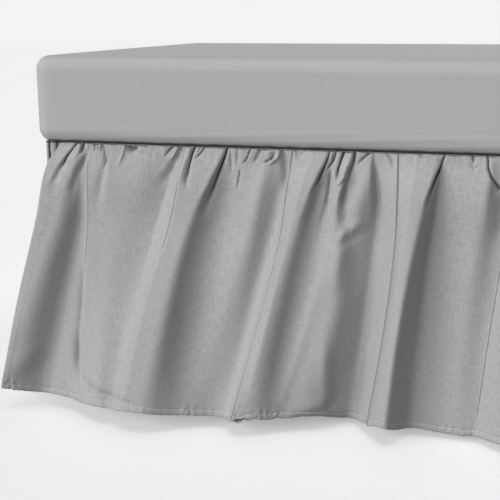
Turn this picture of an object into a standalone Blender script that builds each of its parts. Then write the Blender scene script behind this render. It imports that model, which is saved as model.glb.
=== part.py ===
"""Gathered bed skirt on a cot bed, with the plain mattress and bed base that carry it.

The skirt is a flat deck that lies under the mattress and four gathered ruffles that hang
from the deck's edges to just above the floor. The corners are split, so every ruffle has
two free hemmed ends. Each ruffle is a loft: fold lines run down the cloth from the gathered
seam to the hem, and a rounded zigzag section through them is worked out at every height.
Metres, +Z up, floor at z = 0, front along -Y.
"""
import math
import random
from collections import namedtuple

import bmesh
import bpy
import numpy as np

MM = 0.001

# The bed that carries the skirt.
MATTRESS_SIZE = (1.320, 0.700, 0.120)
MATTRESS_EDGE = 0.018
MATTRESS_ROUNDING = 1
MATTRESS_CROWN = 0.006
DECK_SIZE = (1.290, 0.670)
DECK_OVERHANG = 0.0025
BASE_THICKNESS = 0.050
LEG_SIDE = 0.045
LEG_INSET = 0.060

# The skirt.
SEAT_GAP = 0.0003
CLOTH = 0.0015
MATTRESS_BOTTOM = 0.352
SEAM_HEIGHT = 0.3509
DROP = 0.345
SEAM_END = 0.012
DECK_TOP = MATTRESS_BOTTOM - SEAT_GAP
BASE_TOP = DECK_TOP - CLOTH - SEAT_GAP

# Heights at which a fold line is given, as millimetres of cloth below the seam.
LEVELS = (0.0, 35.0, 110.0, 220.0, 345.0)
CLOTH_STEP = 5.0
ROWS_DOWN = (0, 5, 15, 30, 50, 80, 115, 155, 200, 250, 300, 345)
ROWS_DOWN_PLAIN = (0, 10, 30, 60, 110, 170, 230, 290, 345)
COLUMN_WIDTH = 9.0
COLUMN_WIDTH_PLAIN = 16.0
COLUMNS_MOST = 6

# A fold line: at each of the LEVELS, millimetres along the seam from the ruffle's left end
# and millimetres out from the seam, then the rounding of its crest or foot.
Fold = namedtuple("Fold", "along out soft")

FRONT_FOLDS = (
    Fold((18, 3, -6, -29, -54), (0, 25, 50, 66, 75), 0),            # free end
    Fold((54, 47, 27, -7, -40), (0, 20, 46, 65, 68), 22),           # first fold, crest
    Fold((57, 52, 44, 21, -7), (0, 14, 30, 41, 45), 16),            # first fold, foot
    Fold((60, 60, 60, 53, 38), (0, 12, 27, 42, 57), 3),             # pressed crease
    Fold((113, 111, 105, 99, 91), (0, 8, 28, 55, 92), 34),          # front of the slanting fold
    Fold((141, 136, 127, 116, 105), (0, 9, 20, 44, 80), 28),        # slanting fold, crest
    Fold((178, 170, 151, 132, 115), (0, 2, 22, 56, 95), 4),         # slanting fold, foot
    Fold((188, 186, 175, 149, 128), (0, 18, 44, 76, 103), 3),       # pressed crease
    Fold((240, 227, 202, 181, 159), (0, 16, 44, 77, 104), 12),      # second fold, crest
    Fold((243, 237, 221, 206, 198), (0, 2, 15, 40, 78), 48),        # second fold, foot
    Fold((288, 280, 261, 236, 214), (0, 6, 22, 45, 73), 40),        # front of the low fold
    Fold((298, 289, 273, 252, 229), (0, 11, 25, 43, 62), 23),       # low fold, crest
    Fold((320, 312, 297, 280, 257), (0, 2, 13, 36, 71), 30),        # low fold, foot
    Fold((323, 318, 309, 288, 260), (0, 2, 19, 48, 80), 2),         # pressed tuck, under layer
    Fold((326, 321, 313, 292, 265), (0, 2, 20, 50, 86), 3),         # pressed tuck, upper edge
    Fold((353, 344, 327, 305, 280), (0, 20, 42, 64, 81), 3),        # front of the third fold
    Fold((369, 358, 338, 317, 296), (0, 20, 42, 61, 78), 13),       # third fold, crest
    Fold((374, 370, 355, 332, 308), (0, 3, 18, 39, 68), 45),        # third fold, foot
    Fold((397, 390, 379, 353, 320), (0, 17, 29, 44, 61), 3),        # short fold, crest
    Fold((406, 402, 390, 362, 324), (0, 8, 30, 43, 58), 8),         # short fold, foot
    Fold((423, 417, 401, 380, 352), (0, 13, 27, 46, 52), 23),       # fourth fold, crest
    Fold((433, 433, 429, 418, 408), (0, 2, 2, 4, 5), 28),           # fourth fold, foot
    Fold((451, 453, 453, 443, 425), (0, 14, 31, 40, 33), 2),        # pressed tuck, under layer
    Fold((454, 456, 456, 447, 430), (0, 14, 32, 42, 39), 3),        # pressed tuck, upper edge
    Fold((478, 474, 466, 454, 441), (0, 22, 48, 57, 58), 7),        # front of the deepest fold
    Fold((502, 495, 478, 463, 453), (0, 23, 51, 70, 76), 13),       # deepest fold, crest
    Fold((505, 502, 493, 487, 485), (0, 12, 23, 30, 31), 12),       # deepest fold, foot
    Fold((512, 512, 514, 520, 524), (0, 8, 15, 19, 26), 16),        # front of the loose fold
    Fold((563, 563, 556, 548, 539), (0, 12, 17, 19, 25), 24),       # loose fold, crest
    Fold((567, 566, 566, 558, 547), (0, 4, 11, 20, 30), 21),        # loose fold, foot
    Fold((583, 583, 582, 572, 562), (0, 1, 9, 22, 27), 3),          # pressed crease
)

# The free end of the left ruffle puffs out at the seam and hangs in behind the front one.
LEFT_RUFFLE_END = (0, 12, 9, 32, 50)

# Plain stretches: spacing of the folds, how far their hems stand out, smallest and largest,
# and the share of the fan and of the hem's reach that a fold has at each of the LEVELS.
PLAIN_PITCH = (64.0, 118.0)
PLAIN_FLANK = (0.28, 0.60)
PLAIN_CREST = (52.0, 84.0)
PLAIN_FOOT = (20.0, 42.0)
PLAIN_SOFT = (12.0, 34.0)
PLAIN_END = 0.75
FAN_GROWTH = (0.0, 0.10, 0.33, 0.65, 1.0)
CREST_GROWTH = (0.0, 0.25, 0.51, 0.77, 1.0)
FOOT_GROWTH = (0.0, 0.07, 0.26, 0.59, 1.0)
LONG_FAN = 72.0
END_FAN = 12.0
FRONT_SEED = 11
RIGHT_SEED = 3
BACK_SEED = 5
LEFT_SEED = 8

# How the gathers loosen down the cloth, the least rounding of a pressed edge, and the most
# that a rounding may take of the flanks beside it.
SOFT_AT_SEAM = 0.25
SOFT_LEAST = 0.5
SOFT_REACH = 0.9


def clear_scene():
    """Remove every object, so that the file holds only this model."""
    for old in list(bpy.data.objects):
        bpy.data.objects.remove(old, do_unlink=True)


def linear(hex_colour):
    """Turn an sRGB hex colour into the linear values that a shader takes."""
    channels = [int(hex_colour[i:i + 2], 16) / 255.0 for i in (1, 3, 5)]
    return [c / 12.92 if c <= 0.04045 else ((c + 0.055) / 1.055) ** 2.4 for c in channels]


def plain_material(name, hex_colour, roughness):
    """A Principled material of one colour."""
    material = bpy.data.materials.new(name)
    material.use_nodes = True
    shader = material.node_tree.nodes["Principled BSDF"]
    shader.inputs["Base Color"].default_value = (*linear(hex_colour), 1.0)
    shader.inputs["Roughness"].default_value = roughness
    shader.inputs["Metallic"].default_value = 0.0
    return material


def add_node(collection, name, mesh, material):
    """Put one sub-part into the model's collection."""
    part = bpy.data.objects.new(name, mesh)
    mesh.materials.append(material)
    collection.objects.link(part)
    return part


def box_mesh(name, size, low_z):
    """A box centred on X and Y, standing on low_z."""
    shape = bmesh.new()
    bmesh.ops.create_cube(shape, size=1.0)
    bmesh.ops.scale(shape, vec=size, verts=shape.verts)
    bmesh.ops.translate(shape, vec=(0.0, 0.0, low_z + size[2] / 2.0), verts=shape.verts)
    mesh = bpy.data.meshes.new(name)
    shape.to_mesh(mesh)
    shape.free()
    return mesh


def mattress_mesh():
    """Cage of a mattress: loops near its edges hold them round, and the top is crowned."""
    half = [side / 2.0 for side in MATTRESS_SIZE]
    mesh = box_mesh("mattress", (*MATTRESS_SIZE[:2], MATTRESS_SIZE[2] - MATTRESS_CROWN),
                    MATTRESS_BOTTOM)
    shape = bmesh.new()
    shape.from_mesh(mesh)
    low, high = MATTRESS_BOTTOM, MATTRESS_BOTTOM + MATTRESS_SIZE[2] - MATTRESS_CROWN
    loops = [(axis, spot) for axis in (0, 1)
             for spot in (MATTRESS_EDGE - half[axis], 0.0, half[axis] - MATTRESS_EDGE)]
    loops += [(2, low + MATTRESS_EDGE), (2, high - MATTRESS_EDGE)]
    for axis, spot in loops:
        place = [spot if i == axis else 0.0 for i in range(3)]
        facing = [1.0 if i == axis else 0.0 for i in range(3)]
        geometry = shape.verts[:] + shape.edges[:] + shape.faces[:]
        bmesh.ops.bisect_plane(shape, geom=geometry, plane_co=place, plane_no=facing)
    for vertex in shape.verts:
        if vertex.co.z > high - MM:
            fade = [1.0 - (vertex.co[i] / half[i]) ** 2 for i in (0, 1)]
            vertex.co.z += MATTRESS_CROWN * fade[0] * fade[1]
    shape.to_mesh(mesh)
    shape.free()
    mesh.shade_smooth()
    return mesh


def ease_down(values, down):
    """Smooth curve through the values at LEVELS, read at each distance down the cloth.

    values has a row for each fold line; the result has a row for each distance.
    """
    levels = np.array(LEVELS)
    steps = np.diff(values, axis=1) / np.diff(levels)
    slopes = np.concatenate([steps[:, :1], (steps[:, 1:] + steps[:, :-1]) / 2, steps[:, -1:]],
                            axis=1)
    place = np.clip(np.searchsorted(levels, down, side="right") - 1, 0, len(levels) - 2)
    span = levels[place + 1] - levels[place]
    part = (down - levels[place]) / span
    start = values[:, place] * (2 * part ** 3 - 3 * part ** 2 + 1)
    end = values[:, place + 1] * (3 * part ** 2 - 2 * part ** 3)
    leave = slopes[:, place] * span * (part ** 3 - 2 * part ** 2 + part)
    arrive = slopes[:, place + 1] * span * (part ** 3 - part ** 2)
    return (start + end + leave + arrive).T


def column_places(lines, width):
    """Cloth columns: the fold line before each one, and how far it is on to the next."""
    index, share = [], []
    for k in range(len(lines) - 1):
        gap = max(right - left for right, left in zip(lines[k + 1].along, lines[k].along))
        count = max(1, min(COLUMNS_MOST, round(gap / width)))
        index += [k] * count
        share += [i / count for i in range(count)]
    return np.array(index + [len(lines) - 2]), np.array(share + [1.0])


def rounded_section(along, out, soft, index, share):
    """Points on the zigzag through the fold lines, with a parabola at every corner.

    The arrays along, out and soft have a row for each height and a column for each line.
    """
    corner = np.stack([along, out], axis=-1)
    side = np.diff(corner, axis=1)
    length = np.linalg.norm(side, axis=-1)
    heading = side / length[..., None]
    travelled = np.concatenate([np.zeros((len(along), 1)), np.cumsum(length, axis=1)], axis=1)
    points = corner[:, index] + share[None, :, None] * side[:, index]
    place = travelled[:, index] + share * length[:, index]
    shorter = np.minimum(length[:, :-1], length[:, 1:])
    reach = np.minimum(soft[:, 1:-1], SOFT_REACH * shorter)
    away = np.abs(place[:, :, None] - travelled[:, None, 1:-1])
    bend = np.maximum(reach[:, None, :] - away, 0.0) ** 2 / (4.0 * reach[:, None, :])
    return points + np.einsum("rcl,rld->rcd", bend, heading[:, 1:] - heading[:, :-1])


def ruffle_points(lines, width, rows_down):
    """Grid of points of a hanging ruffle: along its seam, out from it, and its height.

    Every column keeps its length of cloth, so a column that leans or stands out ends higher.
    """
    down = np.arange(0.0, DROP / MM + CLOTH_STEP / 2, CLOTH_STEP)
    places = np.array([line.along for line in lines], dtype=float)
    along = ease_down(places, down)
    out = ease_down(np.array([line.out for line in lines], dtype=float), down)
    loosening = SOFT_AT_SEAM + (1.0 - SOFT_AT_SEAM) * down / down[-1]
    soft = np.array([line.soft for line in lines]) * loosening[:, None] + SOFT_LEAST
    index, share = column_places(lines, width)
    flat = rounded_section(along, out, soft, index, share)
    lean_curve = np.polyfit(places[:, -1], places[:, -1] - places[:, 0], 2)
    lean = np.polyval(lean_curve, flat[-1, :, 0]) / down[-1]
    stride = np.diff(flat[:, :, 1], axis=0)
    fall = np.sqrt(CLOTH_STEP ** 2 - stride ** 2 - (lean * CLOTH_STEP) ** 2)
    height = SEAM_HEIGHT / MM - np.concatenate([np.zeros((1, fall.shape[1])),
                                                np.cumsum(fall, axis=0)])
    grid = np.dstack([flat, height])
    return grid[[round(row / CLOTH_STEP) for row in rows_down]] * MM


def plain_fold(place, seam, fan, hem_out, growth, soft):
    """A fold line that fans out from its place on the seam and stands out by its growth."""
    shift = fan * (2.0 * place / seam - 1.0)
    return Fold([place + shift * share for share in FAN_GROWTH],
                [hem_out * share for share in growth], soft)


def plain_folds(start, end, seam, fan, seed):
    """Fold lines for a stretch of ruffle, unevenly spaced and fanning out to both ends."""
    pick = random.Random(seed)
    folds = []
    place = start
    while place < end - PLAIN_PITCH[1]:
        pitch = pick.uniform(*PLAIN_PITCH)
        flank = pitch * pick.uniform(*PLAIN_FLANK)
        crest, foot = pick.uniform(*PLAIN_CREST), pick.uniform(*PLAIN_FOOT)
        folds.append(plain_fold(place + pitch - flank, seam, fan, crest, CREST_GROWTH,
                                PLAIN_SOFT[0]))
        folds.append(plain_fold(place + pitch, seam, fan, foot, FOOT_GROWTH, PLAIN_SOFT[1]))
        place += pitch
    middle = sum(PLAIN_CREST) / 2
    folds.append(plain_fold((place + end) / 2, seam, fan, middle, CREST_GROWTH, PLAIN_SOFT[0]))
    folds.append(plain_fold(end, seam, fan, PLAIN_END * middle, CREST_GROWTH, 0.0))
    return folds


def plain_ruffle_folds(seam, fan, seed):
    """Fold lines of a whole plain ruffle, its free end first."""
    end = SEAM_END / MM
    end_out = PLAIN_END * sum(PLAIN_CREST) / 2
    start = plain_fold(end, seam, fan, end_out, CREST_GROWTH, 0.0)
    return [start] + plain_folds(end, seam - end, seam, fan, seed)


def ruffle(collection, name, lines, width, rows_down, turn, material):
    """One ruffle, hung along the deck edge that faces -Y after turning by turn radians."""
    across, deep = DECK_SIZE if round(math.sin(turn), 6) == 0.0 else DECK_SIZE[::-1]
    grid = ruffle_points(lines, width, rows_down)
    x = grid[..., 0] - across / 2.0
    y = -deep / 2.0 - SEAT_GAP - grid[..., 1]
    world = np.stack([x * math.cos(turn) - y * math.sin(turn),
                      x * math.sin(turn) + y * math.cos(turn), grid[..., 2]], axis=-1)
    rows, columns = world.shape[:2]
    corner = np.arange(rows * columns).reshape(rows, columns)
    faces = np.stack([corner[1:, :-1], corner[1:, 1:], corner[:-1, 1:], corner[:-1, :-1]],
                     axis=-1).reshape(-1, 4)
    mesh = bpy.data.meshes.new(name)
    mesh.from_pydata(world.reshape(-1, 3).tolist(), [], faces.tolist())
    mesh.shade_smooth()
    part = add_node(collection, name, mesh, material)
    thicken = part.modifiers.new("cloth thickness", "SOLIDIFY")
    thicken.thickness = CLOTH
    thicken.offset = 1.0
    return part


def stand_at_origin(parts):
    """Move the parts together, so that the middle of their box's floor is the origin."""
    graph = bpy.context.evaluated_depsgraph_get()
    spots = []
    for part in parts:
        shape = part.evaluated_get(graph)
        spots += [shape.matrix_world @ vertex.co for vertex in shape.data.vertices]
    middle = [(min(s[i] for s in spots) + max(s[i] for s in spots)) / 2.0 for i in (0, 1)]
    for part in parts:
        part.location.x -= middle[0]
        part.location.y -= middle[1]


def main():
    clear_scene()
    collection = bpy.data.collections.new("bed_skirt")
    bpy.context.scene.collection.children.link(collection)
    cloth = plain_material("grey cotton", "#A9A9A9", 0.85)
    sheet = plain_material("grey fitted sheet", "#ABABAB", 0.85)
    wood = plain_material("painted wood", "#E4E2DE", 0.5)

    mattress = add_node(collection, "mattress", mattress_mesh(), sheet)
    rounding = mattress.modifiers.new("soft edges", "SUBSURF")
    rounding.levels = MATTRESS_ROUNDING
    rounding.render_levels = MATTRESS_ROUNDING
    deck = box_mesh("deck", (*DECK_SIZE, CLOTH), DECK_TOP - CLOTH)
    add_node(collection, "deck", deck, cloth)
    base_size = [side - 2 * DECK_OVERHANG for side in DECK_SIZE]
    base_bottom = BASE_TOP - BASE_THICKNESS
    base = box_mesh("bed_base", (*base_size, BASE_THICKNESS), base_bottom)
    add_node(collection, "bed_base", base, wood)
    leg = box_mesh("leg", (LEG_SIDE, LEG_SIDE, base_bottom - SEAT_GAP), 0.0)
    leg.materials.append(wood)
    for side_x, name_x in ((-1, "left"), (1, "right")):
        for side_y, name_y in ((-1, "front"), (1, "back")):
            post = bpy.data.objects.new(f"leg_{name_y}_{name_x}", leg)
            post.location.x = side_x * (base_size[0] / 2 - LEG_INSET)
            post.location.y = side_y * (base_size[1] / 2 - LEG_INSET)
            collection.objects.link(post)

    long_seam, end_seam = (side / MM for side in DECK_SIZE)
    last = FRONT_FOLDS[-1].along[0]
    front = list(FRONT_FOLDS) + plain_folds(last, long_seam - SEAM_END / MM, long_seam,
                                            LONG_FAN, FRONT_SEED)
    right = plain_ruffle_folds(end_seam, END_FAN, RIGHT_SEED)
    back = plain_ruffle_folds(long_seam, LONG_FAN, BACK_SEED)
    left = plain_ruffle_folds(end_seam, END_FAN, LEFT_SEED)
    left[-1] = left[-1]._replace(out=LEFT_RUFFLE_END)
    quarter = math.pi / 2
    ruffle(collection, "ruffle_front", front, COLUMN_WIDTH, ROWS_DOWN, 0.0, cloth)
    for name, folds, turn in (("ruffle_right", right, quarter),
                              ("ruffle_back", back, 2 * quarter),
                              ("ruffle_left", left, -quarter)):
        ruffle(collection, name, folds, COLUMN_WIDTH_PLAIN, ROWS_DOWN_PLAIN, turn, cloth)
    bpy.context.view_layer.update()
    stand_at_origin(list(collection.objects))


main()
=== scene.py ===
"""Gathered grey bed skirt on a cot bed: four ruffles, their deck, the mattress and the bed.

Every ruffle is a surface over its fold lines. A fold line runs down the cloth from the
gathered seam to the hem; a rounded zigzag through the lines gives the section at every
height, and small puckers, the hem's fold and its stitches are laid over that.
Metres, +Z up, the front ruffle along -Y.
"""
import math
import random
from collections import namedtuple

import bpy
import numpy as np
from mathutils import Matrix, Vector


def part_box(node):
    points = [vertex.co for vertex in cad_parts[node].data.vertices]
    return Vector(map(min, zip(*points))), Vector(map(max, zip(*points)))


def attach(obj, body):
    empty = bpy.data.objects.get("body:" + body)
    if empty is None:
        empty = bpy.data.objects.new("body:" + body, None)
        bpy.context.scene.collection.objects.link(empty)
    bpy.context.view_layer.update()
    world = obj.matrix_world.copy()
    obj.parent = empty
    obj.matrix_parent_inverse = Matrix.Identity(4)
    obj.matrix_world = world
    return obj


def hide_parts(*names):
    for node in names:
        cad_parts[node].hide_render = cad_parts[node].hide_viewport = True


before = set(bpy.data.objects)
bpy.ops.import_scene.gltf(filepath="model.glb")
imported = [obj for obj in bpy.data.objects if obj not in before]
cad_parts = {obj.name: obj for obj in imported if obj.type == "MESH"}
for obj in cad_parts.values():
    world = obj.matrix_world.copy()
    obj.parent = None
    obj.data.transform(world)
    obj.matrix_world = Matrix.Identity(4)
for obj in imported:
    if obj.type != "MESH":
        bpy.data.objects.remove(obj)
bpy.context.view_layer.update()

MM = 0.001

# ---------------------------------------------------------------- sizes from the frame
DECK_LOW, DECK_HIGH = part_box("deck")
MATTRESS_LOW, MATTRESS_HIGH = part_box("mattress")
BED_MIDDLE = (DECK_LOW + DECK_HIGH) / 2.0
DECK_SIZE = DECK_HIGH - DECK_LOW
SEAT_GAP = 0.3 * MM       # between the bed's sides and the inner faces of the ruffles
SEAM_SET = 0.8 * MM       # the seam lies this far below the top of the deck
SEAM_HEIGHT = DECK_HIGH.z - SEAM_SET

# ---------------------------------------------------------------- cloth sizes, millimetres
CLOTH = 0.6               # percale with its seam allowance, drawn a little thick
CLOTH_PLACE = 1.1         # from the solid's inner face to the cloth's outer face
DROP = 345.0              # cloth from the seam to the hem
SEAM_END = 12.0           # a plain ruffle's free end, from the end of the bed's side
HEM_DEPTH = 7.0
HEM_RAISE = 0.6           # of the doubled hem over the single cloth
HEM_STEP = (0.6, 0.9)     # the raise falls away from before the stitches to after them
STITCH_GROOVE = (0.7, 0.9)      # depth and half width of the groove that the stitches pull
STITCH_LENGTH = 2.6
STITCH_PITCH = 3.6
STITCH_WIDTH = 0.75
STITCH_END = 4.0          # left plain at each end of the hem
LEVELS = (0.0, 35.0, 110.0, 220.0, DROP)      # distances down the cloth, for the fold lines

# A stitch's rings, each by its place as a share of the stitch's length and its swell, their
# sides, and the stitch's half height and lift off the cloth as shares of its half width.
STITCH_RINGS = ((-0.5, 0.35), (-0.3, 0.85), (0.0, 1.0), (0.3, 0.85), (0.5, 0.35))
STITCH_SIDES = 6
STITCH_FLAT = 0.7
STITCH_LIFT = 0.25

# A fold line: at each of the LEVELS, millimetres along the seam from the ruffle's left end
# and millimetres out from the seam, then the rounding of its crest or foot.
Fold = namedtuple("Fold", "along out soft")

FRONT_FOLDS = (
    Fold((18, 7, -2, -27, -54), (0, 24, 48, 63, 73), 0),            # free end
    Fold((54, 49, 32, -3, -38), (0, 20, 47, 67, 69), 20),           # first fold, crest
    Fold((57, 54, 47, 24, -5), (0, 11, 26, 39, 44), 13),            # first fold, foot
    Fold((60, 61, 62, 54, 38), (0, 13, 30, 44, 57), 3),             # pressed crease
    Fold((113, 111, 105, 99, 91), (0, 12, 32, 56, 92), 34),         # front of the slanting fold
    Fold((141, 136, 127, 116, 105), (0, 12, 27, 49, 82), 28),       # slanting fold, crest
    Fold((178, 170, 151, 132, 115), (0, 2, 22, 56, 95), 4),         # slanting fold, foot
    Fold((188, 186, 175, 149, 128), (0, 18, 44, 76, 103), 3),       # pressed crease
    Fold((240, 227, 202, 181, 159), (0, 16, 44, 77, 104), 12),      # second fold, crest
    Fold((243, 237, 221, 206, 198), (0, 2, 15, 40, 78), 48),        # second fold, foot
    Fold((288, 280, 261, 236, 214), (0, 6, 22, 45, 73), 40),        # front of the low fold
    Fold((298, 290, 277, 255, 230), (0, 11, 28, 43, 62), 18),       # low fold, crest
    Fold((320, 313, 300, 281, 257), (0, 1, 9, 31, 65), 20),         # low fold, foot
    Fold((323, 318, 309, 288, 260), (0, 2, 18, 44, 76), 2),         # pressed tuck, under layer
    Fold((326, 321, 313, 292, 265), (0, 2, 20, 50, 86), 3),         # pressed tuck, upper edge
    Fold((353, 344, 327, 305, 280), (0, 20, 42, 64, 81), 3),        # front of the third fold
    Fold((369, 358, 338, 317, 296), (0, 20, 42, 61, 78), 13),       # third fold, crest
    Fold((374, 370, 355, 332, 308), (0, 3, 18, 39, 68), 45),        # third fold, foot
    Fold((397, 390, 379, 353, 320), (0, 17, 29, 44, 61), 3),        # short fold, crest
    Fold((406, 402, 390, 362, 324), (0, 8, 30, 43, 58), 8),         # short fold, foot
    Fold((423, 418, 405, 385, 364), (0, 13, 27, 46, 51), 17),       # fourth fold, crest
    Fold((433, 433, 430, 420, 410), (0, 2, 2, 3, 3), 15),           # fourth fold, foot
    Fold((451, 453, 453, 443, 425), (0, 14, 31, 40, 33), 2),        # pressed tuck, under layer
    Fold((454, 456, 456, 447, 430), (0, 14, 32, 42, 39), 3),        # pressed tuck, upper edge
    Fold((478, 474, 466, 454, 441), (0, 22, 48, 57, 58), 7),        # front of the deepest fold
    Fold((502, 496, 482, 466, 454), (0, 22, 50, 69, 76), 11),       # deepest fold, crest
    Fold((505, 503, 495, 488, 484), (0, 2, 9, 18, 26), 12),         # deepest fold, foot
    Fold((512, 512, 514, 520, 524), (0, 5, 13, 19, 25), 16),        # front of the loose fold
    Fold((563, 563, 556, 548, 539), (0, 14, 22, 26, 29), 22),       # loose fold, crest
    Fold((567, 566, 566, 558, 547), (0, 4, 11, 20, 30), 21),        # loose fold, foot
    Fold((583, 583, 582, 572, 562), (0, 1, 9, 22, 27), 3),          # pressed crease
)

# The free end of the left ruffle wraps round the corner in small flutes and hangs in behind
# the front ruffle.
LEFT_RUFFLE_END = (
    Fold((656, 658, 662, 666, 670), (2, 3, 9, 32, 50), 3),
    Fold((672, 672, 670, 672, 675), (3, 4, 9, 31, 48), 1),
    Fold((674, 674, 671, 673, 676), (-1, 0, 7, 30, 47), 1),
    Fold((667, 668, 672, 675, 678), (-2, -1, 6, 29, 46), 1),
    Fold((676, 676, 675, 677, 680), (-5, -4, 4, 27, 44), 1),
    Fold((676, 677, 677, 679, 681), (-13, -11, 2, 25, 42), 1),
    Fold((668, 670, 676, 680, 682), (-14, -12, 0, 23, 40), 1),
    Fold((673, 674, 677, 681, 683), (-17, -15, -3, 21, 38), 0),
)

# Plain stretches, smallest and largest: spacing of the folds, the share of it from a crest
# to its foot, and how far the hems of crests and feet stand out. Then the rounding of crests
# and feet, the reach of a free end for that of a middling crest, and the share of the fan and
# of the hem's reach that a fold has at each of the LEVELS. A fan is how far, in millimetres,
# the hem spreads past the seam at each end.
PLAIN_PITCH = (64.0, 118.0)
PLAIN_FLANK = (0.28, 0.60)
PLAIN_CREST = (52.0, 84.0)
PLAIN_FOOT = (20.0, 42.0)
PLAIN_SOFT = (12.0, 34.0)
PLAIN_END = 0.75
FAN_GROWTH = (0.0, 0.10, 0.33, 0.65, 1.0)
CREST_GROWTH = (0.0, 0.25, 0.51, 0.77, 1.0)
FOOT_GROWTH = (0.0, 0.07, 0.26, 0.59, 1.0)
LONG_FAN = 72.0
END_FAN = 12.0

# The share of its rounding that a fold has at the seam, where the gathers hold it tight, the
# least rounding of a pressed edge in millimetres, and the largest share of the shorter flank
# beside it that a rounding may take.
SOFT_AT_SEAM = 0.25
SOFT_LEAST = 0.5
SOFT_REACH = 0.9

# A pressed crease: its fold line in the front ruffle, the groove's depth and width, the ridge
# on its left, where down the cloth it starts and ends, and how much shade is painted along it.
Pressed = namedtuple("Pressed", "line groove width ridge top bottom shade", defaults=(0.0,))

PRESSED_CREASES = (
    Pressed(3, 0.1, 1.2, 0.9, 12.0, 190.0),
    Pressed(7, 1.0, 1.0, 0.9, -20.0, 150.0),
    Pressed(14, 1.1, 0.9, 0.5, -20.0, 360.0, 0.25),
    Pressed(23, 1.1, 1.0, 0.6, -20.0, 360.0, 0.5),
    Pressed(30, 1.2, 1.0, 0.5, 25.0, 330.0),
)
PRESSED_FADE = 18.0       # length over which a crease begins and ends
RIDGE_AT = -1.2           # widths from the fold line to the ridge, the groove and the shade
GROOVE_AT = 0.6
SHADE_AT = 0.4

# Where a panel's hem laps lower than its neighbour's: the fold line between them and how far,
# in millimetres. The lap begins at the line and levels out along the hem.
HEM_LAPS = ((14, 1.4), (23, 3.0))
LAP_EDGE = (-0.5, 0.8)
LAP_FADE = (6.0, 30.0)

# How far the hem is cut short: along the hem, then how far, in millimetres. Laps and cuts
# start this far down the cloth and grow to the hem.
HEM_SHORT = ((285, 0.0), (298, 4.0), (315, 5.2), (350, 6.2), (370, 6.0), (382, 3.0),
             (395, -1.0), (411, -1.0), (429, 1.5), (445, 4.6), (468, 4.4), (482, 3.0),
             (495, 1.8), (515, 0.0), (540, -2.0), (556, 0.0))
TRIM_TOP = 262.0

# How far down the cloth the gathers' fine columns go, their spacing in millimetres, and how
# many of them a column may be split into. Then the spacing of the columns below them, where
# the folds are modelled one by one and where they are plain. Extra columns stand this far
# from a pressed crease, within a share of its panel.
GATHER_ZONE = 64.0
GATHER_COLUMN = 1.3
GATHER_SPLITS = 4
HANGING_COLUMN = 4.0
PLAIN_COLUMN = 6.0
PRESSED_COLUMNS = (0.7, 1.5, 2.5, 4.0)
PRESSED_SHARE = 0.45

# Rows of the cloth: distances down from the seam, the first row of the gathers and their
# spacing, the rows between the gathers and the hem's zone, and distances up from the hem.
SEAM_ROWS = (0.0, 0.6, 1.1, 1.6, 2.6)
GATHER_ROWS = (4.0, 2.0)
MIDDLE_ROWS = 40
HEM_ZONE = 18.0
HEM_ROWS = (14.0, 11.0, 9.4, 8.2, 7.6, 7.0, 6.4, 5.6, 4.0, 2.0, 0.0)

# A pucker: a crease along a path of (millimetres along the seam, millimetres down the cloth).
# Its half width at the start and at the end, its height, below zero for a trough, its roll,
# which lifts its left side, and its tuck, how far the cloth on its left slides over it. Left
# is as seen from the front on a path that goes down, and turns with the path.
Pucker = namedtuple("Pucker", "path width_start width_end height roll tuck", defaults=(0.0,))

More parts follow.
